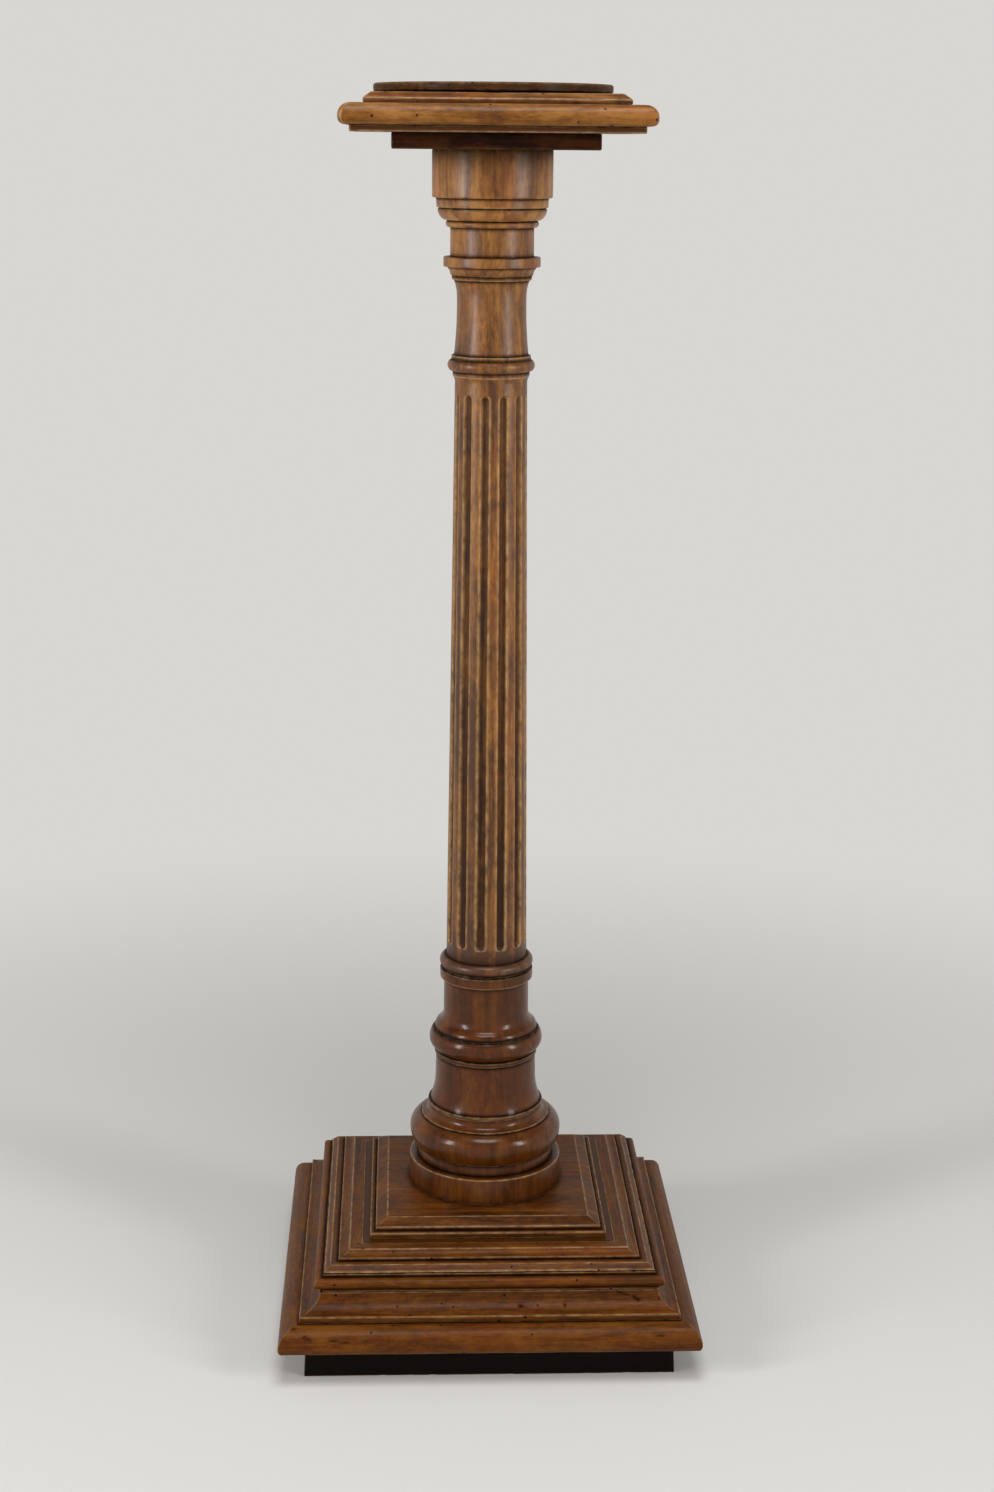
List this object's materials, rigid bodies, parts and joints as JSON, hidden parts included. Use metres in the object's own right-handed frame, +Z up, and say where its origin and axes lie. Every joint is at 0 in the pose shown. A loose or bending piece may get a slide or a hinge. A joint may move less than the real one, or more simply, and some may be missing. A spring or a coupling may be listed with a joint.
{
  "type": "pedestal column stand",
  "caption": "Waxed walnut pedestal: stepped square base, fluted turned column with ringed lower shaft, square moulded cap and a thin round top that turns.",
  "frame": {"origin": "centre of the foot's underside, on the floor under the column", "axes": "+Z up the column, which is the longest extent; the sides of the square base lie along X and Y, the front towards -Y"},
  "size_m": [0.4106, 0.4106, 1.2194],
  "materials": {
    "base_walnut": "waxed",
    "dark_walnut": "dark stained",
    "red_walnut": "waxed",
    "golden_walnut": "waxed",
    "cap_walnut": "waxed",
    "pine": "planed",
    "iron": "dull",
    "brass": "turned",
    "leather": "waxed"
  },
  "bodies": {
    "stand": {"abacus_block": "dark_walnut", "base_screws": "iron", "bearing_washer": "leather", "block_screws": "iron", "cap_screws": "iron", "cap_slab": "cap_walnut", "cap_step": "cap_walnut", "cavetto_board": "pine", "cavetto_moulding_back": "base_walnut", "cavetto_moulding_front": "base_walnut", "cavetto_moulding_left": "base_walnut", "cavetto_moulding_right": "base_walnut", "column_base": "red_walnut", "cove_board": "base_walnut", "cove_moulding_back": "base_walnut", "cove_moulding_front": "base_walnut", "cove_moulding_left": "base_walnut", "cove_moulding_right": "base_walnut", "fluted_shaft": "golden_walnut", "foot_rail_back": "dark_walnut", "foot_rail_front": "dark_walnut", "foot_rail_left": "dark_walnut", "foot_rail_right": "dark_walnut", "glue_block_back_left": "pine", "glue_block_back_right": "pine", "glue_block_front_left": "pine", "glue_block_front_right": "pine", "lower_shaft": "red_walnut", "nosing_board": "pine", "nosing_moulding_back": "base_walnut", "nosing_moulding_front": "base_walnut", "nosing_moulding_left": "base_walnut", "nosing_moulding_right": "base_walnut", "pivot_bush": "brass", "plinth_block": "base_walnut", "tenon_wedge": "pine", "thumb_board": "pine", "thumb_moulding_back": "base_walnut", "thumb_moulding_front": "base_walnut", "thumb_moulding_left": "base_walnut", "thumb_moulding_right": "base_walnut", "under_board": "cap_walnut"},
    "turntable": {"nut_washer": "iron", "pivot_nut": "iron", "pivot_pin": "iron", "top_screws": "iron", "turning_top": "cap_walnut"}
  },
  "joints": [
    {"name": "top_turn", "type": "hinge", "parent": "stand", "child": "turntable", "pos_m": [0, 0, 1.2116], "axis": [0, 0, 1], "continuous": true}
  ]
}
